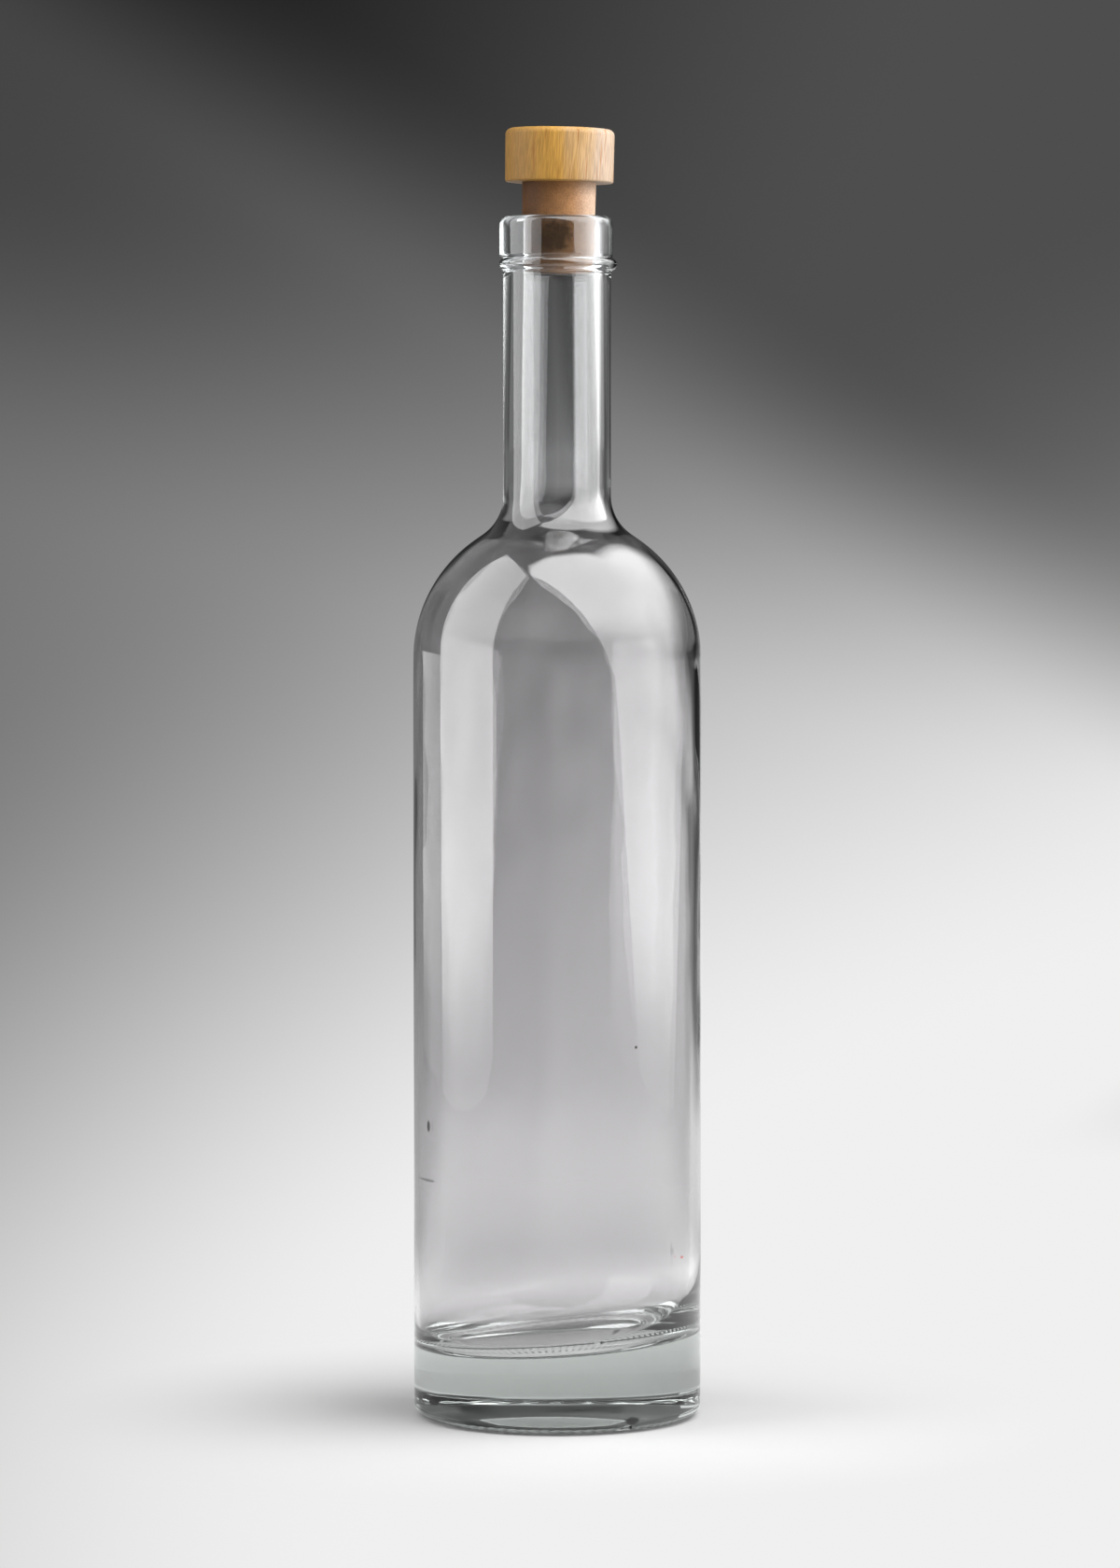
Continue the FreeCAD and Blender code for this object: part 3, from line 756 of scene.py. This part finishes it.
@dataclass
class Bottle:
    """The glass: a moulded outside and a blown inside that isn't concentric with it."""

    body_radius: float = 36.75
    body_height: float = 194.0
    shoulder_radius: float = 36.75
    heel_radius: float = 3.3
    bearing_radius: float = 30.25
    bearing_edge: float = 1.2
    pushup_depth: float = 4.1
    knurls: int = 80
    knurl_depth: float = 0.8
    mouth_radius: float = 9.4
    mouth_shift: float = 0.4
    mouth_round: float = 0.7
    lip_radius: float = 14.4
    lip_shift: float = -0.25
    lip_depth: float = 10.1
    lip_round: float = 2.0
    groove_radius: float = 14.0
    bead_radius: float = 15.05
    bead_round: float = 1.6
    bead_drop: float = 12.2
    bead_shift: float = 0.25
    neck_radius: float = 13.7
    neck_height: float = 70.9
    root_radius: float = 11.8
    wall: float = 1.9
    chamber_shift: float = -0.5
    floor_height: float = 18.5
    floor_slope: float = math.tan(math.radians(3.4))
    corner_width: float = 13.0
    corner_height: float = 14.0
    corner_lean: float = 5.5
    corner_power: float = 2.8
    bore_radius: float = 10.2
    bore_shift: float = 0.2
    bore_depth: float = 15.0
    taper_length: float = 42.0
    notch_azimuth: float = 29.0
    notch_radius: float = 2.2
    notch_depth: float = 2.4
    ripple_size: float = 12.0
    ripple_depth: float = 0.42
    ripple_stretch: float = 2.2
    ripple_low: Pair = (0.10, 0.17)
    ripple_high: Pair = (0.255, 0.275)

    @property
    def root_height(self) -> float:
        """Height at which the neck starts."""
        reach = self.shoulder_radius + self.root_radius
        width = self.neck_radius + reach - self.body_radius
        return self.body_height + math.sqrt(reach ** 2 - width ** 2)

    @property
    def top(self) -> float:
        """Height of the mouth."""
        return self.root_height + self.neck_height

    def outside(self) -> list[Ring]:
        """The moulded outside.

        Returns:
            Its rings, from the middle of the underside to the lip.
        """
        ring, rise, edge = self.bearing_radius, self.pushup_depth, self.bearing_edge
        dome_centre = (rise ** 2 - ring ** 2) / (2 * rise)
        dome_radius = rise - dome_centre
        tilt = math.degrees(math.asin(ring / dome_radius))
        points = arc((0, dome_centre), dome_radius, 89.4, 90 - tilt * 0.96, 7)
        points += arc((ring + edge * 0.9, edge), edge, -90 - 60, -90, 3)
        flat = self.body_radius - self.heel_radius
        points += line((ring + edge * 0.9, 0), (flat, 0), 4)[1:]
        points += arc((flat, self.heel_radius), self.heel_radius, -90, 0, 6)[1:]
        points += line((self.body_radius, self.heel_radius),
                       (self.body_radius, self.body_height), 8)[1:]
        turn = self.shoulder_radius + self.root_radius
        meet = math.degrees(math.asin((self.root_height - self.body_height) / turn))
        points += arc((self.body_radius - self.shoulder_radius, self.body_height),
                      self.shoulder_radius, 0, meet, 12)[1:]
        points += arc((self.neck_radius + self.root_radius, self.root_height),
                      self.root_radius, 180 + meet, 180, 8)[1:]
        bead_height = self.top - self.bead_drop
        centre = self.bead_radius - self.bead_round
        foot = math.degrees(math.asin(max(-1.0, -math.sqrt(
            1 - ((self.neck_radius - centre) / self.bead_round) ** 2))))
        head = math.degrees(math.acos((self.groove_radius - centre) / self.bead_round))
        bead = arc((centre, bead_height), self.bead_round, foot + 8, head, 9)
        points += line((self.neck_radius, self.root_height),
                       (self.neck_radius, bead[0][1] - 1.0), 5)[1:]
        points.append((self.neck_radius + 0.03, bead[0][1] - 0.35))
        rings = [Ring(r, z) for r, z in points]
        rings += [Ring(r, z, self.bead_shift) for r, z in bead]
        lip_base = self.top - self.lip_depth
        rings.append(Ring(self.groove_radius, lip_base - 0.3))
        lip = [(self.lip_radius, lip_base), (self.lip_radius, lip_base + 0.7)]
        lip += line((self.lip_radius, lip_base + 0.7),
                    (self.lip_radius, self.top - self.lip_round), 2)[1:]
        lip += arc((self.lip_radius - self.lip_round, self.top - self.lip_round),
                   self.lip_round, 0, 90, 6)[1:]
        rings += [Ring(r, z, self.lip_shift) for r, z in lip]
        return rings

    def inside(self) -> list[Ring]:
        """The blown inside.

        Returns:
            Its rings, from the lip down to the middle of the floor.
        """
        rim = self.mouth_round
        mouth = arc((self.mouth_radius + rim, self.top - rim), rim, 90, 180, 4)
        taper_top = self.top - self.bore_depth
        mouth += line((self.mouth_radius, self.top - rim), (self.mouth_radius, taper_top), 3)[1:]
        rings = [Ring(r, z, self.mouth_shift) for r, z in mouth]
        for part in (0.25, 0.5, 0.75, 1.0):
            rings.append(Ring(self.mouth_radius + (self.bore_radius - self.mouth_radius) * part,
                              taper_top - self.taper_length * part,
                              self.mouth_shift + (self.bore_shift - self.mouth_shift) * part))
        chamber = self.body_radius - self.wall
        dome = self.shoulder_radius - self.wall
        root = self.root_radius + self.wall
        reach = dome + root
        width = self.bore_radius + reach - chamber
        height = self.body_height + math.sqrt(reach ** 2 - width ** 2)
        meet = math.degrees(math.asin((height - self.body_height) / reach))
        points = line((self.bore_radius, taper_top - self.taper_length),
                      (self.bore_radius, height), 5)[1:]
        points += arc((self.bore_radius + root, height), root, 180, 180 + meet, 8)[1:]
        points += arc((chamber - dome, self.body_height), dome, meet, 0, 12)[1:]
        low = self.floor_height + self.corner_height + self.corner_lean
        points += line((chamber, self.body_height), (chamber, low + 4.0), 22)[1:]
        for r, z in points:
            part = smooth_step(self.body_height + 8.0, height + 4.0, z)
            rings.append(Ring(r, z, self.chamber_shift
                              + (self.bore_shift - self.chamber_shift) * part))
        steps = 10
        for i in range(steps + 1):
            angle = math.radians(90 * i / steps)
            power = 2 / self.corner_power
            rise = 1 - math.sin(angle) ** power
            radius = chamber - self.corner_width * (1 - max(math.cos(angle), 0.0) ** power)
            rings.append(Ring(radius, self.floor_height + self.corner_height * rise,
                              self.chamber_shift,
                              self.floor_slope + self.corner_lean / chamber * rise))
        flat = chamber - self.corner_width
        for part in (0.75, 0.5, 0.25, 0.05):
            rings.append(Ring(flat * part, self.floor_height, self.chamber_shift,
                              self.floor_slope))
        return rings

    def knurl(self) -> None:
        """Presses the shallow grooves into the ring that the bottle stands on."""
        low = self.bearing_radius + self.bearing_edge + 0.2
        high = self.body_radius - 0.7
        step = 2 * math.pi / self.knurls

        def in_groove(place: Vector) -> bool:
            """Tells whether a point lies in a groove.

            Args:
                place: the point.

            Returns:
                Whether it does.
            """
            radius = math.hypot(place.x, place.y) / MM
            if place.z > 1.2 * MM or not low < radius < high:
                return False
            turn = math.atan2(place.y, place.x) / step
            return abs(turn - round(turn)) < 0.25

        pick_vertices(in_groove)
        bpy.ops.transform.translate(value=(0.0, 0.0, self.knurl_depth * MM))

    def notch(self, piece: bpy.types.Object) -> None:
        """Cuts the small round notch in the heel that the mould leaves.

        Args:
            piece: the glass.
        """
        start_clean()
        length = 4.0
        reach = self.body_radius - self.notch_depth + length / 2
        turn = math.radians(self.notch_azimuth)
        bpy.ops.mesh.primitive_cylinder_add(
            vertices=48, radius=self.notch_radius * MM, depth=length * MM,
            location=(reach * math.sin(turn) * MM, -reach * math.cos(turn) * MM, 0.0),
            rotation=(math.pi / 2, 0.0, turn))
        cutter = bpy.context.active_object
        apply_modifier(piece, Change.CUT, operation="DIFFERENCE", solver="EXACT", object=cutter)
        bpy.data.objects.remove(cutter)

    def ripple(self, piece: bpy.types.Object) -> None:
        """Gives the blown inside its soft unevenness, strongest below the shoulder.

        Args:
            piece: the glass.
        """
        inner = piece.vertex_groups.new(name="inside")
        high = (self.body_height + 30.0) * MM
        for vertex in piece.data.vertices:
            if self.is_inside(vertex.co):
                z = vertex.co.z
                part = (smooth_step(*self.ripple_low, z) * 0.75 + 0.25) * smooth_step(
                    (self.floor_height + 10.0) * MM, (self.floor_height + 40.0) * MM, z)
                if z > high:
                    part *= 0.6 * (1.0 - smooth_step(*self.ripple_high, z))
                inner.add([vertex.index], part, "REPLACE")
        cloud = bpy.data.textures.new("blown_unevenness", "CLOUDS")
        cloud.noise_scale = self.ripple_size * MM
        cloud.noise_depth = 1
        bpy.ops.object.empty_add(location=(0.0, 0.0, 0.0))
        stretch = bpy.context.active_object
        stretch.scale = (1.0, 1.0, self.ripple_stretch)
        bpy.context.view_layer.update()
        apply_modifier(piece, Change.DISPLACE, texture=cloud, texture_coords="OBJECT",
                       texture_coords_object=stretch, vertex_group=inner.name,
                       strength=self.ripple_depth * MM, mid_level=0.5)
        bpy.data.objects.remove(stretch)
        piece.vertex_groups.clear()
        bpy.data.textures.remove(cloud)

    def is_inside(self, place: Vector) -> bool:
        """Tells whether a point of the glass belongs to the blown inside.

        Args:
            place: the point.

        Returns:
            Whether it does.
        """
        height = place.z / MM
        radius = math.hypot(place.x, place.y) / MM
        if height < self.floor_height - 4.0:
            return False
        if height < self.body_height:
            return radius < self.body_radius - 0.8
        rise = height - self.body_height
        outer = math.sqrt(max(self.shoulder_radius ** 2 - rise ** 2, 0.0)) if rise < 30 else 13.2
        return radius < max(outer, 13.2) - 0.9

    def build(self) -> bpy.types.Object:
        """Builds the glass as one closed form.

        Returns:
            The piece.
        """
        loft(self.outside() + self.inside(), self.knurls * 2)
        bpy.ops.mesh.select_all(action="SELECT")
        bpy.ops.mesh.flip_normals()
        self.knurl()
        piece = finish_object("glass_bottle")
        apply_modifier(piece, Change.SUBDIVIDE, levels=1, render_levels=1)
        self.ripple(piece)
        self.notch(piece)
        start_clean()
        piece.select_set(True)
        bpy.context.view_layer.objects.active = piece
        bpy.ops.object.shade_smooth_by_angle(angle=math.radians(50.0))
        piece.data.materials.append(ClearGlass().material())
        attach(piece, BODY)
        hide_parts("bottle")
        return piece


# ---------------------------------------------------------------- the stopper

@dataclass
class Turning:
    """A turned piece of the stopper, in millimetres above the mouth."""

    name: str
    low: float
    low_radius: float
    low_round: float
    high: float
    high_radius: float
    high_round: float
    sides: int = 128

    def rings(self) -> list[Ring]:
        """The turned form.

        Returns:
            Its rings, from the middle of the underside to the middle of the top.
        """
        low, high = self.low, self.high
        edge, brim = self.low_round, self.high_round
        points = line((0.3, low), (self.low_radius - edge, low), 4)
        if edge:
            points += arc((self.low_radius - edge, low + edge), edge, -90, 0, 5)[1:]
        points += line((self.low_radius, low + edge), (self.high_radius, high - brim), 4)[1:]
        if brim:
            points += arc((self.high_radius - brim, high - brim), brim, 0, 90, 9)[1:]
        points += line((self.high_radius - brim, high), (0.3, high), 4)[1:]
        return [Ring(radius, height) for radius, height in points]

    def build(self, seat: Triple, lean: float,
              finish: bpy.types.Material) -> bpy.types.Object:
        """Turns the piece and leans it in the mouth.

        Args:
            seat: the middle of the mouth, in metres.
            lean: how far the top leans towards +X, in degrees.
            finish: its material.

        Returns:
            The piece.
        """
        loft(self.rings(), self.sides)
        bpy.ops.mesh.select_all(action="SELECT")
        bpy.ops.mesh.flip_normals()
        bpy.ops.object.mode_set(mode="OBJECT")
        piece = bpy.context.active_object
        piece.location = seat
        piece.rotation_euler = (0.0, math.radians(lean), 0.0)
        piece = finish_object(self.name)
        piece.select_set(True)
        bpy.ops.object.shade_smooth_by_angle(angle=math.radians(40.0))
        piece.data.materials.append(finish)
        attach(piece, BODY)
        return piece


@dataclass
class Stopper:
    """A cork plug with a wooden top that leans a little in the mouth."""

    lean: float = 1.0
    shank: Turning = field(default_factory=lambda: Turning(
        "stopper_plug", -13.7, 9.0, 1.3, 8.5, 9.39, 0.0))
    cap: Turning = field(default_factory=lambda: Turning(
        "stopper_top", 8.5, 13.75, 0.5, 22.05, 13.85, 1.6))

    def build(self, seat: Triple) -> list[bpy.types.Object]:
        """Builds both pieces in the mouth.

        Args:
            seat: the middle of the mouth, in metres.

        Returns:
            The shank and the cap.
        """
        shank = self.shank.build(seat, self.lean, GroundCork().material())
        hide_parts("stopper_shank")
        cap = self.cap.build(seat, self.lean, TurnedWood().material())
        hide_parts("stopper_cap")
        return [shank, cap]


# ---------------------------------------------------------------- the studio

@dataclass
class Panel:
    """A flat soft light, given by one corner and its two edges, in metres."""

    name: str
    corner: Triple
    along: Triple
    length: float
    across: Triple
    width: float
    radiance: float
    steps: tuple[Pair, ...] = ((0.0, 1.0), (1.0, 1.0))
    card: tuple[Pair, Pair] | None = None
    card_blur: float = 0.02
    far_side: Pair = (0.60, 0.98)
    far_end: Pair = (0.16, 0.34)
    far_level: float = 1.0
    low_fade: Triple = (0.0, 0.085, 0.15)

    def shade(self, light: bpy.types.AreaLight) -> None:
        """Grades the light along its length, and lays a card over its end.

        It is hidden from rays that pass straight through the glass.

        Args:
            light: the light.
        """
        light.use_nodes = True
        board = NodeBoard(light.node_tree)
        glow = next(node for node in board.nodes if node.type == "EMISSION")
        place = board.add("ShaderNodeNewGeometry")
        across, along, _ = board.split(place.outputs["Parametric"])
        ramp = board.add("ShaderNodeValToRGB")
        ramp.color_ramp.interpolation = "EASE"
        board.join(along, ramp.inputs[0])
        elements = ramp.color_ramp.elements
        while len(elements) < len(self.steps):
            elements.new(0.5)
        for element, (spot, level) in zip(elements, self.steps):
            element.position = spot
            element.color = (level, level, level, 1.0)
        corner = board.product(board.span(across, *self.far_side),
                               board.span(along, *self.far_end))
        strength = board.product(
            ramp.outputs[0], board.math("MULTIPLY_ADD", corner, self.far_level - 1.0, 1.0))
        if self.card:
            (low, to_low), (high, to_high) = self.card
            edge = board.span(across, low, high, to_low, to_high, smooth=False)
            strength = board.product(strength, board.span(
                board.math("SUBTRACT", edge, along), -self.card_blur, self.card_blur,
                smooth=False))
        start, end, level = self.low_fade
        height = board.split(place.outputs["Position"])[2]
        strength = board.product(strength, board.span(height, start, end, level, 1.0))
        path = board.add("ShaderNodeLightPath")
        straight = board.product(path.outputs["Is Transmission Ray"],
                                 board.math("LESS_THAN", path.outputs["Glossy Depth"], 0.5))
        board.join(board.product(strength, board.math("SUBTRACT", 1.0, straight)),
                   glow.inputs["Strength"])

    def build(self) -> bpy.types.Object:
        """Hangs the panel with its face towards the object.

        Returns:
            The lamp.
        """
        up = Vector(self.along).normalized()
        side = Vector(self.across)
        side = (side - up * side.dot(up)).normalized()
        centre = Vector(self.corner) + up * self.length / 2 + side * self.width / 2
        face = side.cross(up)
        if face.dot(centre) < 0:
            side, face = -side, -face
        light = bpy.data.lights.new(self.name, "AREA")
        light.shape = "RECTANGLE"
        light.size, light.size_y = self.width, self.length
        light.energy = self.radiance * math.pi * self.width * self.length
        self.shade(light)
        lamp = bpy.data.objects.new(self.name, light)
        bpy.context.scene.collection.objects.link(lamp)
        lamp.matrix_world = Matrix.Translation(centre) @ Matrix(
            (side, up, face)).transposed().to_4x4()
        lamp.visible_camera = False
        return lamp


@dataclass
class Studio:
    """The floor with its backdrop, the light panels and the camera."""

    floor_end: float = 1.0
    wall_radius: float = 2.6
    wall_height: float = 3.2
    camera_distance: float = 1.504
    camera_height: float = 0.241
    camera_drop: float = 3.0127
    camera_pan: float = 0.027
    camera_roll: float = -0.017
    lens: float = 135.47
    ambient: float = 0.25
    panels: list[Panel] = field(default_factory=lambda: [
        Panel("panel_right", (0.743, -0.868, 0.217), (-0.694, 0.4, 0.598), 1.7,
              (0.203, 0.903, -0.378), 1.05, 2.85,
              ((0.0, 0.95), (0.22, 1.0), (0.42, 2.2)),
              ((0.168, 0.882), (0.539, 0.588)), far_level=0.05),
        Panel("panel_left", (-0.70, -0.56, 0.01), (0.15, 0.12, 0.98), 1.5,
              (-0.15, 1.0, 0.0), 0.76, 3.65),
        Panel("panel_low", (-0.85, 0.22, 0.0), (0.0, 0.0, 1.0), 0.21,
              (0.25, 0.97, 0.0), 0.50, 1.2),
    ])

    def sweep(self) -> bpy.types.Object:
        """Builds the floor and the backdrop as one bowl.

        Returns:
            The bowl.
        """
        start_clean()
        bpy.ops.mesh.primitive_circle_add(vertices=96, radius=0.2, fill_type="NGON")
        bpy.ops.object.mode_set(mode="EDIT")
        bpy.ops.mesh.select_all(action="SELECT")
        bend = self.wall_radius - self.floor_end
        points = line((0.2, 0.0), (self.floor_end, 0.0), 3)[1:]
        points += arc((self.floor_end, bend), bend, -90, 0, 14)[1:]
        points.append((self.wall_radius, self.wall_height))
        radius, height = 0.2, 0.0
        for next_radius, next_height in points:
            bpy.ops.mesh.extrude_region_move(
                TRANSFORM_OT_translate={"value": (0.0, 0.0, next_height - height)})
            grow = next_radius / radius
            bpy.ops.transform.resize(value=(grow, grow, 1.0),
                                     center_override=(0.0, 0.0, next_height))
            radius, height = next_radius, next_height
        bpy.ops.mesh.delete(type="FACE")
        bpy.ops.mesh.select_all(action="SELECT")
        bpy.ops.mesh.normals_make_consistent(inside=True)
        piece = finish_object("stage_sweep")
        bpy.ops.object.shade_smooth()
        piece.data.materials.append(PaleStage().material())
        return piece

    def camera(self) -> bpy.types.Object:
        """Stands the camera in front of the bottle.

        Returns:
            The camera.
        """
        data = bpy.data.cameras.new("camera")
        data.lens = self.lens
        data.sensor_fit = "AUTO"
        data.sensor_width = 36.0
        camera = bpy.data.objects.new("camera", data)
        bpy.context.scene.collection.objects.link(camera)
        camera.location = (0.0, -self.camera_distance, self.camera_height)
        turn = (Matrix.Rotation(-math.radians(self.camera_pan), 3, "Z")
                @ Matrix.Rotation(math.radians(90 - self.camera_drop), 3, "X")
                @ Matrix.Rotation(math.radians(self.camera_roll), 3, "Z"))
        camera.rotation_euler = turn.to_euler()
        bpy.context.scene.camera = camera
        return camera

    def world(self) -> None:
        """Fills the rest of the room with a dim even light."""
        world = bpy.data.worlds.new("room")
        bpy.context.scene.world = world
        world.use_nodes = True
        sky = world.node_tree.nodes["Background"]
        sky.inputs["Color"].default_value = (1.0, 1.0, 1.0, 1.0)
        sky.inputs["Strength"].default_value = self.ambient

    def build(self) -> None:
        """Builds everything round the object."""
        self.sweep()
        for panel in self.panels:
            panel.build()
        self.camera()
        self.world()
        bpy.context.scene.view_settings.view_transform = "Standard"


def main() -> None:
    """Builds the pieces in order."""
    logging.basicConfig(level=logging.INFO, format="%(name)s: %(message)s")
    Studio().build()
    glass = Bottle()
    seat = (glass.mouth_shift * MM, 0.0, glass.top * MM)
    for piece in [glass.build(), *Stopper().build(seat)]:
        LOG.info("%s: %d faces", piece.name, len(piece.data.polygons))


if __name__ == "__main__":
    main()
